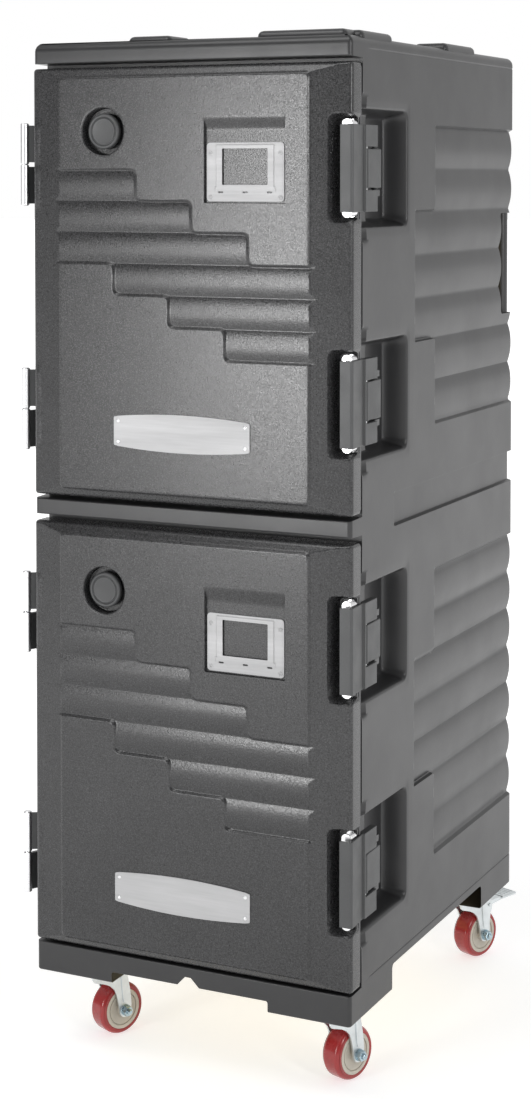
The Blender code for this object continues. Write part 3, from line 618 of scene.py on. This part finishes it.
def door_front(x, h, low, high):
    """Y of a door's moulded front at each X and height above the door's bottom edge."""
    tall = high[2] - low[2]
    flat, edge = low[1], low[1] + 11.0
    slope = np.maximum.reduce([
        (PANEL_X[0] - x) / (PANEL_X[0] - low[0]),
        (x - PANEL_X[1]) / (high[0] - PANEL_X[1]),
        (PANEL_H[0] - h) / PANEL_H[0],
        (h - PANEL_H[1]) / (tall - PANEL_H[1]),
    ])
    panel = fade(0.3, 0.7, window(x, *PANEL_X, 3.2) * window(h, *PANEL_H, 3.2))
    border = flat + 2.2 + (edge - flat - 2.2) * np.clip(slope, 0.0, 1.0)
    y = border + (flat - border) * panel

    mask = np.zeros_like(x)
    for i in range(6):
        reach = (-420.0, RIB_ENDS[i]) if i < 3 else (RIB_STARTS[i - 3], 420.0)
        top = RIB_TOP - RIB_PITCH * i
        mask += window(x, *reach, 4.6) * window(h, top - RIB_PITCH, top, 4.6)
    phase = np.mod((RIB_TOP - h) / RIB_PITCH, 1.0)
    rib = flat + 1.1 + 2.6 * np.abs(2.0 * phase - 1.0) ** 2.0
    y = y + fade(0.32, 0.68, mask) * np.maximum(rib - y, 0.0)

    holder = window(x, 32.0, 154.0, 0.9) * window(h, 419.0, 537.0, 0.9)
    y = y + fade(0.3, 0.7, holder) * 5.2 * (1.0 - fade(517.0, 538.0, h))
    for height in HINGE_H:
        bulge = np.exp(-(((x + 241.0) / 4.5) ** 2)) * (
            window(h, height - 57, height - 3, 4.0) + window(h, height + 3, height + 57, 4.0)
        )
        y = y - 1.5 * bulge

    gap = np.minimum.reduce([x - low[0], high[0] - x, h, tall - h])
    near = np.clip(5.0 - gap, 0.0, 5.0)
    y = y + 5.0 - np.sqrt(25.0 - near**2)

    for height in LATCH_H:
        inside = window(x, 217.0, 500.0, 5.0) * window(h, height - 70, height + 70, 5.0)
        inside = fade(0.22, 0.78, inside)
        y = y * (1.0 - inside) + (high[1] - 4.0) * inside
        x = x - inside * np.clip(x - 246.3, 0.0, 3.0)
    return x, y


def make_door_skin(tag):
    low, high = DOOR_LOW[tag], DOOR_HIGH[tag]
    tall = high[2] - low[2]
    rim = (1.5, 1.5, 0.6)
    xs = lines(
        low[0], high[0], 7.0, (low[0], 6.0, 0.8), (high[0], 6.0, 0.8), (-234.0, 26.0, 3.0),
        (PANEL_X[0], 9.0, 1.3), (PANEL_X[1], 9.0, 1.3), (217.0, 8.0, 1.2), (32.0, 2.0, 0.5),
        (154.0, 2.0, 0.5), *[(e, 8.0, 1.3) for e in RIB_ENDS + RIB_STARTS],
    )
    hs = lines(
        0.0, tall, 8.0, (0.0, 6.0, 0.8), (tall, 6.0, 0.8), (PANEL_H[0], 8.0, 1.3),
        (PANEL_H[1], 8.0, 1.3), (419.0, 2.0, 0.5), (528.0, 12.0, 2.0),
        *[(RIB_TOP - RIB_PITCH * i, 7.0, 1.0) for i in range(7)],
        (334.0, 133.0, 3.0), *[(c + s * 70.0, 8.0, 1.2) for c in LATCH_H for s in (-1, 1)],
    )
    x, h = np.meshgrid(xs, hs)
    x, y = door_front(x, h, low, high)
    u = np.abs(x) - (high[0] - 5.0)
    v = np.abs(h - tall / 2.0) - (tall / 2.0 - 5.0)
    corner = (u > 0) & (v > 0)
    length = np.sqrt(u**2 + v**2) + 1e-9
    shrink = np.where(corner, np.maximum(u, v) / length, 1.0)
    x = np.where(corner, np.sign(x) * (high[0] - 5.0 + u * shrink), x)
    h = np.where(corner, tall / 2.0 + np.sign(h - tall / 2.0) * (tall / 2.0 - 5.0 + v * shrink), h)

    rows, columns = x.shape
    index = np.arange(rows * columns).reshape(rows, columns)
    faces = np.stack(
        [index[:-1, :-1], index[:-1, 1:], index[1:, 1:], index[1:, :-1]], axis=-1
    ).reshape(-1, 4).tolist()
    points = np.stack([x, y, h + low[2]], axis=-1).reshape(-1, 3)
    ring = np.concatenate([
        index[0, :-1], index[:-1, -1], index[-1, :0:-1], index[:0:-1, 0]
    ])
    back = points[ring].copy()
    back[:, 1] = high[1]
    start = len(points)
    count = len(ring)
    for k in range(count):
        n = (k + 1) % count
        faces.append((int(ring[n]), int(ring[k]), start + k, start + n))
    faces.append(list(range(start, start + count)))
    bm = tidy(from_arrays(np.concatenate([points, back]), faces), 0.01)

    vent_low, vent_high = corners(f"{tag}_vent_cap")
    centre = ((vent_low[0] + vent_high[0]) / 2.0, (vent_low[2] + vent_high[2]) / 2.0)
    flat = low[1]
    mouth = [(33.0 + 2.4 * (1 - math.sin(a)), flat + 2.4 * (1 - math.cos(a)))
             for a in np.linspace(0.0, math.pi / 2, 6)]
    floor = [(31.0 + 2.0 * math.cos(a), flat + 14.0 + 2.0 * math.sin(a))
             for a in np.linspace(0.0, math.pi / 2, 4)]
    profile = [(0, flat - 12), (35.4, flat - 12), *mouth, *floor, (8.4, flat + 16.0),
               (8.4, flat + 18.0), (0, flat + 18.0)]
    bm = carve(bm, cuts=[lathe(profile, "y", centre, 96)])
    piece(f"{tag}_door_front", tidy(bm, 0.004), "grained_polyethylene", f"{tag}_door",
          [f"{tag}_door_skin"])


def make_vent(tag):
    low, high = corners(f"{tag}_vent_cap")
    centre = ((low[0] + high[0]) / 2.0, (low[2] + high[2]) / 2.0)
    f = low[1]
    profile = [
        (0, f + 0.9), (15.5, f + 0.9), (16.6, f + 0.5), (17.6, f + 0.6), (18.2, f + 1.6),
        (19.4, f + 1.9), (20.2, f + 1.2), (20.8, f + 0.3), (21.8, f), (22.8, f + 0.2),
        (23.8, f + 1.0), (24.6, f + 2.2), (25.0, f + 3.6), (25.0, f + 6.9), (24.0, f + 7.7),
        (8.0, f + 7.7), (8.0, high[1]), (0, high[1]),
    ]
    piece(f"{tag}_vent", lathe(profile, "y", centre, 96), "black_nylon", f"{tag}_vent",
          [f"{tag}_vent_cap"])


def dome(centre, face, radius, rise, slot=True):
    """A screw or rivet head on a surface that faces -Y."""
    profile = [(0, face + 0.6), (radius, face + 0.6), (radius, face - 0.15 * rise)]
    for a in np.linspace(0.25, math.pi / 2, 5):
        profile.append((radius * math.cos(a), face - rise * math.sin(a)))
    head = lathe(profile, "y", centre, 28)
    if slot:
        x, z = centre
        w = radius * 0.55
        return carve(head, cuts=[
            box((x - w, x + w), (face - rise - 1, face - rise * 0.45), (z - 0.4, z + 0.4)),
            box((x - 0.4, x + 0.4), (face - rise - 1, face - rise * 0.45), (z - w, z + w)),
        ])
    return head


def make_holder(tag):
    """The pressed card holder: a flange, a raised frame round its window and a lower lip."""
    low, high = corners(f"{tag}_card_holder")
    wide, tall = high[0] - low[0], high[2] - low[2]
    win = ((24.0, wide - 24.0), (22.5, tall - 8.0))
    xs = lines(0.0, wide, 6.0, (0.0, 3.0, 0.6), (wide, 3.0, 0.6), (15.0, 3.0, 0.6),
               (wide - 15.0, 3.0, 0.6), (24.0, 3.0, 0.6), (wide - 24.0, 3.0, 0.6))
    zs = lines(0.0, tall, 6.0, (0.0, 3.0, 0.6), (tall, 3.0, 0.6), (13.5, 6.0, 0.7),
               (22.5, 3.0, 0.6), (tall - 8.0, 3.0, 0.6), (tall - 3.0, 3.0, 0.6))
    x, z = np.meshgrid(xs, zs)
    raised = window(x, 15.0, wide - 15.0, 0.5) * window(z, 18.5, tall - 3.0, 0.5)
    lip = window(x, 13.0, wide - 13.0, 0.5) * fade(9.5, 19.0, z) * (z < tall - 3.0)
    lift = np.maximum(fade(0.2, 0.8, raised), 0.9 * lip * (z < 20.0))
    y = high[1] - 1.1 - (high[1] - 1.1 - low[1]) * lift
    rows, columns = x.shape
    index = np.arange(rows * columns).reshape(rows, columns)
    faces = np.stack(
        [index[:-1, :-1], index[:-1, 1:], index[1:, 1:], index[1:, :-1]], axis=-1
    ).reshape(-1, 4).tolist()
    bm = from_arrays(np.stack([x + low[0], y, z + low[2]], axis=-1).reshape(-1, 3), faces)
    bmesh.ops.recalc_face_normals(bm, faces=bm.faces)
    if sum(f.normal.y for f in bm.faces) > 0:
        bmesh.ops.reverse_faces(bm, faces=bm.faces)
    obj = temporary(bm)
    thick = obj.modifiers.new("sheet", "SOLIDIFY")
    thick.thickness = 1.0
    thick.offset = -1.0
    sheet = evaluated(obj)
    bpy.data.objects.remove(obj)
    cuts = [box((low[0] + win[0][0], low[0] + win[0][1]), (-400, -300),
                (low[2] + win[1][0], low[2] + win[1][1]), 1.2, 3, "y")]
    middle = (low[0] + high[0]) / 2.0
    for i in (-1, 0, 1):
        cuts.append(box((middle + 37 * i - 4, middle + 37 * i + 4), (-400, -300),
                        (low[2] + 11.2, low[2] + 13.8), 1.25, 4, "y"))
    frame_ = prism_round((low[0], high[0]), (low[2], high[2]), 5.0, -400, -300)
    obj = temporary(sheet)
    other = temporary(frame_)
    keep = obj.modifiers.new("outline", "BOOLEAN")
    keep.operation = "INTERSECT"
    keep.object = other
    keep.solver = "EXACT"
    sheet = evaluated(obj)
    for used in (obj, other):
        bpy.data.objects.remove(used)
    sheet = carve(sheet, cuts=cuts)
    heads = []
    for sx, dz in ((5.6, 6.0), (wide - 5.6, 6.0), (5.6, tall - 14.0), (wide - 5.6, tall - 14.0)):
        heads.append(dome((low[0] + sx, low[2] + dz), high[1] - 1.1, 3.1, 1.3))
    piece(f"{tag}_holder", together(sheet, *heads), "satin_plate", f"{tag}_door",
          [f"{tag}_card_holder"], sharp=28.0)


def prism_round(x, z, radius, low, high):
    return box(x, (low, high), z, radius, 6, "y")


def make_plate(tag):
    low, high = corners(f"{tag}_name_plate")
    middle = (low[0] + high[0]) / 2.0
    half = (high[0] - low[0]) / 2.0
    centre = (low[2] + high[2]) / 2.0
    straight, bulge, r = 20.5, 6.0, 2.5
    upper = []
    for i in range(33):
        t = 1.0 - 2.0 * i / 32
        z = straight + bulge * (1.0 - t * t)
        upper.append((middle + half * t * (1.0 - 0.0), centre + z))
    upper[0:1] = [(middle + half, centre + straight - r), (middle + half - 0.7, centre + straight - 0.6)]
    upper[-1:] = [(middle - half + 0.7, centre + straight - 0.6), (middle - half, centre + straight - r)]
    lower = [(2 * middle - x, 2 * centre - z) for x, z in upper]
    plate = prism(upper + lower, "y", low[1], high[1])
    heads = []
    for sx in (-1, 1):
        for sz in (-1, 1):
            heads.append(dome(
                (middle + sx * (half - 7.0), centre + sz * 14.5), low[1], 2.6, 1.2, slot=False
            ))
    piece(f"{tag}_plate", plate, "satin_plate", f"{tag}_door", [f"{tag}_name_plate"], bevel=0.5)
    piece(f"{tag}_plate_rivets", together(*heads), "stainless_steel", f"{tag}_door")


# Hinges and latches -----------------------------------------------------------------------


def make_hinge(tag, n):
    for leaf in ("door", "body"):
        node = f"{tag}_hinge_{n}_{leaf}_leaf"
        low, high = corners(node)
        joint = next(j for j in frame["joints"] if j["name"] == f"{tag}_door_hinge")
        cx, cy = (v / MM for v in joint["pos_m"][:2])
        if leaf == "door":
            strap = [(-3, 4), (3, -1), (16.4, 8), (19.2, 8), (19.2, 15), (15.4, 15), (2, 6)]
            z = (low[2], high[2])
            span = (z[0] + 3, z[1] - 3)
            barrel = rod(6.2, "z", (cx, cy), *z, 48, 1.3)
            pins = []
        else:
            strap = [(-3, 4), (3, -1), (14.5, 24), (20.6, 29.2), (20.6, 64), (16.4, 64),
                     (16.4, 34), (9.5, 29)]
            z = (low[2], low[2] + 59.0)
            span = (z[0] + 3, z[1] - 3)
            barrel = rod(6.2, "z", (cx, cy), *z, 48, 1.3)
            pins = [rod(3.0, "z", (cx, cy), z[1] - 2, high[2], 24, 0.4)]
        plate = prism([(cx + a, cy + b) for a, b in strap], "z", *span)
        made = carve(barrel, adds=pins)
        if leaf == "door":
            made = carve(made, cuts=[rod(3.3, "z", (cx, cy), z[0] - 5, z[1] - 7, 24)])
        body = "cabinet" if leaf == "body" else f"{tag}_door"
        piece(f"{tag}_hinge_{n}_{leaf}", made, "stainless_steel", body, [node], bevel=0.35)
        # The strap takes the black nylon look as painted shade, for the shadowed dark strip beside the
        # barrel.
        piece(f"{tag}_hinge_{n}_{leaf}_strap", plate, "black_nylon", body, bevel=0.6)


def make_latch(tag, n):
    z = LATCHES[(tag, n)]
    link_pin, lever_pin = (239.0, -231.0), (246.5, -279.0)
    name = f"{tag}_latch_{n}"
    plate = box((241.6, 249.6), (-277, -231), (z - 26.6, z + 26.6), 1.6, 3)
    link = carve(plate, adds=[
        rod(4.7, "z", lever_pin, z - 26.6, z + 26.6, 36, 0.6),
        rod(5.0, "z", link_pin, z - 28.2, z + 28.2, 36, 0.6),
    ])
    link = together(link, rod(3.0, "z", link_pin, z - 37.5, z + 37.5, 24, 0.4))
    piece(f"{name}_link_body", link, "black_nylon", f"{name}_link", [f"{name}_link"], bevel=0.6)
    piece(f"{name}_pin", rod(2.4, "z", lever_pin, z - 56.5, z + 56.5, 24, 0.5),
          "stainless_steel", f"{name}_link")

    profile = [
        (233.0, -334.0), (247.6, -334.0), (249.6, -333.4), (251.0, -332.2), (251.6, -330.4),
        (249.2, -292.6), (249.6, -291.2), (252.0, -290.4), (252.0, -249.5), (250.6, -248.0),
        (244.6, -248.0), (243.0, -249.2), (241.7, -252.0), (241.7, -284.6), (246.9, -290.6),
        (247.9, -328.8), (246.6, -330.4), (233.6, -330.4), (232.8, -331.6),
    ]
    lever = carve(prism(profile, "z", z - 58.5, z + 58.5), cuts=[
        box((230, 270), (-287.5, -240), (z - 29.4, z + 29.4), 1.6, 3, "x"),
    ])
    piece(f"{name}_lever_body", lever, "black_nylon", f"{name}_lever", [f"{name}_lever"],
          bevel=0.7)
    keeper = carve(
        box((231.2, 246), (-323.2, -304.5), (z - 66, z + 66), 7.0, 6, "y"),
        cuts=[box((220, 243.4), (-320.6, -307.2), (z - 90, z + 90))],
    )
    piece(f"{name}_keeper_hook", keeper, "stainless_steel", f"{tag}_door", [f"{name}_keeper"],
          bevel=0.5)


# Casters ----------------------------------------------------------------------------------


def make_caster(name):
    swivel = next(j for j in frame["joints"] if j["name"] == f"caster_{name}_swivel_turn")
    wheel = next(j for j in frame["joints"] if j["name"] == f"caster_{name}_wheel_roll")
    x, y = (v / MM for v in swivel["pos_m"][:2])
    turn = math.atan2(wheel["axis"][1], wheel["axis"][0])
    top = swivel["pos_m"][2] / MM
    braked = name[0] == "r"
    radius = 37.5
    trail = math.dist(swivel["pos_m"][:2], wheel["pos_m"][:2]) / MM
    axle_y = y + trail
    centre = (axle_y, radius)
    cabinet, fork_body, wheel_body = "cabinet", f"caster_{name}_swivel", f"caster_{name}_wheel"

    plate = box((x - 33, x + 33), (y - 46, y + 46), (top - 3, top), 7.0, 5, "z")
    race = lathe(
        [(0, top - 1), (21, top - 1), (21, top - 4), (20, top - 6), (17, 106), (14, 105.2),
         (0, 105.2)], "z", (x, y), 64,
    )
    pin = rod(5.0, "z", (x, y), 93.0, 107.0, 32)
    rivet = lathe([(0, 94.5), (10, 94.5), (10, 93), (8.6, 91.4), (6, 90.5), (0, 90.5)], "z",
                  (x, y), 40)
    bolts = [rod(5.2, "z", (x + sx * 25, y + sy * 37), top - 6.4, top - 2.5, 6, 0.4)
             for sx in (-1, 1) for sy in (-1, 1)]
    piece(f"caster_{name}_mount", together(plate, race, pin, rivet, *bolts), "zinc_plate",
          cabinet, [f"caster_{name}_plate"], bevel=0.5)

    left = [(-21, 104), (-24.5, 99), (-24.5, 95), (-21, 90.5), (-12, 87.5), (-2, 84), (7, 79),
            (14, 72), (18.5, 62), (21.5, 50), (23.6, 40)]
    hook = []
    for i in range(13):
        a = math.radians(192 + 12.5 * i)
        hook.append((trail + 10.4 * math.cos(a), radius + 10.4 * math.sin(a)))
    if braked:
        right = [(45.2, 46), (45, 58), (46.5, 68), (49, 73.5), (51, 78), (51, 90), (44, 93.5),
                 (36, 96.5), (28, 104)]
    else:
        right = [(44.8, 44), (43.8, 56), (42, 68), (39.5, 80), (37, 92), (34, 98), (28, 104)]
    outline = [(y + a, b) for a, b in left + hook + right]
    fork = prism(outline, "x", x - 22, x + 22)
    fork = carve(fork, cuts=[
        box((x - 18.8, x + 18.8), (y - 90, y + 120), (0, 98.5), 2.0, 3, "y"),
        rod(4.3, "x", centre, x - 40, x + 40, 32),
    ])
    cup = lathe(
        [(0, 98.7), (20.5, 98.7), (22.6, 99.6), (23.2, 101.4), (22.6, 103.6), (20.6, 104.6),
         (0, 104.6)], "z", (x, y), 64,
    )
    fork = carve(fork, adds=[cup])
    fork = carve(fork, cuts=[rod(5.3, "z", (x, y), 92, 112, 32)])
    ribs = []
    for side in (-1, 1):
        face = x + side * 22
        spans = sorted((face - side * 0.5, face + side * 1.6))
        shape = [(y + 25, 96), (y + 28, 60), (y + 30, 50), (y + 38, 50), (y + 39.5, 60),
                 (y + 35, 96)]
        ribs.append(prism(shape, "x", *spans))
    fork = together(fork, *ribs)
    piece(f"caster_{name}_yoke", turned(fork, (x, y), turn), "zinc_plate", fork_body,
          [f"caster_{name}_fork"], bevel=0.6)

    w = 16.0
    tread = [(29.3, -w + 0.6), (32.2, -w), (33.6, -w + 0.3)]
    for a in np.linspace(math.radians(72), 0, 8):
        tread.append((29.7 + 7.8 * math.cos(a), -w + 7.9 - 7.8 * math.sin(a)))
    tread += [(r, -t) for r, t in reversed(tread)]
    tread.append(tread[0])
    bm = lathe([(r, x + t) for r, t in tread], "x", centre, 112)
    piece(f"caster_{name}_tyre", turned(bm, (x, y), turn), "red_tread", wheel_body,
          [f"caster_{name}_tread"])

    half = [(4.3, 18.5), (8.0, 18.5), (8.4, 18.0), (8.6, 13.7), (10.2, 13.1), (19.0, 14.4),
            (22.4, 15.1), (22.9, 14.0), (23.8, 13.9), (24.3, 15.5), (28.2, 15.9), (29.1, 15.4)]
    hub = [(r, -t) for r, t in half] + [(r, t) for r, t in reversed(half)]
    hub.append(hub[0])
    bm = lathe([(r, x + t) for r, t in hub], "x", centre, 96)
    piece(f"caster_{name}_core", turned(bm, (x, y), turn), "cream_hub", wheel_body,
          [f"caster_{name}_hub"])

    bolt = rod(4.2, "x", centre, x - 24, x + 35, 32, 1.6)
    head = lathe([(0, x - 27.5), (5.6, x - 27.5), (7.2, x - 26.5), (7.2, x - 22.3),
                  (0, x - 22.3)], "x", centre, 6)
    nut = lathe([(0, x + 23), (7.8, x + 23), (7.8, x + 29.6), (6.4, x + 30.6), (0, x + 30.6)], "x",
                centre, 6)
    washer = rod(8.4, "x", centre, x + 22.2, x + 23.2, 40, 0.2)
    bm = together(bolt, head, nut, washer)
    piece(f"caster_{name}_bolt", turned(bm, (x, y), turn), "blue_zinc", fork_body,
          [f"caster_{name}_axle"], bevel=0.3)
    if braked:
        side = [(40, 82), (44, 80.6), (50, 80.5), (84, 84.6), (104, 84.4), (112, 86), (114, 88),
                (112.6, 89), (104, 88), (84, 88.4), (50, 88), (42, 87.6), (39.6, 85)]
        pedal = prism([(y + a, b) for a, b in side], "x", x - 18, x + 18)
        pad = box((x - 21, x + 21), (y + 78, y + 113), (84.8, 89.6), 2.2, 4)
        pedal = carve(pedal, adds=[pad], cuts=[
            box((x - 16, x + 16), (y + t, y + t + 2.0), (88.7, 92)) for t in (83, 89, 95, 101, 107)
        ])
        pedal = together(pedal, rod(2.6, "x", (y + 44, 84), x - 24.5, x + 24.5, 24, 0.4))
        piece(f"caster_{name}_pedal", turned(pedal, (x, y), turn), "zinc_plate",
              f"caster_{name}_pedal", [f"caster_{name}_brake_pedal"], bevel=0.4)


# Stage ------------------------------------------------------------------------------------


def make_floor():
    """A pale sweep that glows with painted light, brightest away from the object, so that it has no far
    edge.
    """
    bm = bmesh.new()
    bmesh.ops.create_circle(bm, cap_ends=True, radius=60.0, segments=96)
    mesh = bpy.data.meshes.new("floor")
    bm.to_mesh(mesh)
    bm.free()
    floor = bpy.data.objects.new("floor", mesh)
    SCENE.collection.objects.link(floor)
    look = surface("floor", (0.62, 0.62, 0.62), 0.8, tone=((0.4, 0.01),), specular=0.1)
    nodes, links = look.node_tree.nodes, look.node_tree.links
    where = nodes.new("ShaderNodeTexCoord")
    reach = nodes.new("ShaderNodeVectorMath")
    reach.operation = "LENGTH"
    links.new(where.outputs["Object"], reach.inputs[0])
    glow = nodes.new("ShaderNodeMapRange")
    glow.interpolation_type = "SMOOTHSTEP"
    glow.inputs["From Min"].default_value = 0.3
    glow.inputs["From Max"].default_value = 2.2
    glow.inputs["To Min"].default_value = 0.62
    glow.inputs["To Max"].default_value = 1.0
    links.new(reach.outputs["Value"], glow.inputs["Value"])
    links.new(glow.outputs["Result"], look.node_tree.nodes["Principled BSDF"].inputs[
        "Emission Strength"])
    nodes["Principled BSDF"].inputs["Emission Color"].default_value = (1.0, 1.0, 1.0, 1.0)
    mesh.materials.append(look)


def make_light(name, at, target, size, power, colour=(1.0, 1.0, 1.0)):
    data = bpy.data.lights.new(name, "AREA")
    data.shape = "RECTANGLE"
    data.size, data.size_y = size
    data.energy = power
    data.color = colour
    light = bpy.data.objects.new(name, data)
    light.location = at
    light.rotation_mode = "QUATERNION"
    light.rotation_quaternion = (Vector(target) - Vector(at)).to_track_quat("-Z", "Y")
    SCENE.collection.objects.link(light)


def make_world():
    """A white surround: full strength to the camera, and brighter behind the object than in
    front of it as light."""
    world = bpy.data.worlds.new("studio")
    world.use_nodes = True
    nodes, links = world.node_tree.nodes, world.node_tree.links
    where = nodes.new("ShaderNodeTexCoord")
    parts = nodes.new("ShaderNodeSeparateXYZ")
    links.new(where.outputs["Generated"], parts.inputs["Vector"])
    ramp = nodes.new("ShaderNodeMapRange")
    ramp.interpolation_type = "SMOOTHSTEP"
    for key, value in (("From Min", -0.5), ("From Max", 0.7), ("To Min", WORLD_FRONT),
                       ("To Max", WORLD_BACK)):
        ramp.inputs[key].default_value = value
    links.new(parts.outputs["Y"], ramp.inputs["Value"])
    path = nodes.new("ShaderNodeLightPath")
    level = nodes.new("ShaderNodeMix")
    links.new(path.outputs["Is Camera Ray"], level.inputs["Factor"])
    links.new(ramp.outputs["Result"], level.inputs["A"])
    level.inputs["B"].default_value = 1.0
    back = nodes["Background"]
    back.inputs["Color"].default_value = (1.0, 1.0, 1.0, 1.0)
    links.new(level.outputs["Result"], back.inputs["Strength"])
    SCENE.world = world
    SCENE.view_settings.view_transform = "Standard"
    SCENE.view_settings.look = "None"


def make_camera():
    """A level-sided product view from the right of the front, at eye height."""
    data = bpy.data.cameras.new("camera")
    data.sensor_width = 36.0
    data.lens = 68.302
    data.clip_end = 200.0
    data.shift_x = -0.00885
    data.shift_y = -0.27
    camera = bpy.data.objects.new("camera", data)
    camera.location = (1.3505, -2.8678, 1.2596)
    azimuth, pitch = math.radians(25.5736), math.radians(2.0730)
    ahead = Vector((
        -math.sin(azimuth) * math.cos(pitch), math.cos(azimuth) * math.cos(pitch),
        -math.sin(pitch),
    ))
    camera.rotation_mode = "QUATERNION"
    camera.rotation_quaternion = ahead.to_track_quat("-Z", "Y")
    SCENE.collection.objects.link(camera)
    SCENE.camera = camera


make_world()
make_camera()
make_floor()
make_light("key", (-1.27, -3.55, 1.02), (0.1, -0.3, 0.95), (0.5, 1.5), 40.0)
make_light("edge", (2.9, -1.9, 1.9), (0.25, -0.2, 0.8), (0.35, 1.4), 30.0)
make_light("top", (-0.4, -1.6, 3.4), (0.0, -0.2, 0.9), (1.8, 1.2), 28.0)

make_cabinet()
carry("insulation_core", "insulating_foam", 0.0)
for tag in ("lower", "upper"):
    carry(f"{tag}_liner", "liner_polyethylene", 1.2)
    carry(f"{tag}_door_inner_panel", "liner_polyethylene", 1.2)
    carry(f"{tag}_door_insulation", "insulating_foam", 0.0)
    carry(f"{tag}_door_seal", "seal_rubber", 0.8)
    make_door_skin(tag)
    make_vent(tag)
    make_holder(tag)
    make_plate(tag)
    for n in (1, 2):
        make_hinge(tag, n)
        make_latch(tag, n)
for name in ("fr", "fl", "rr", "rl"):
    make_caster(name)
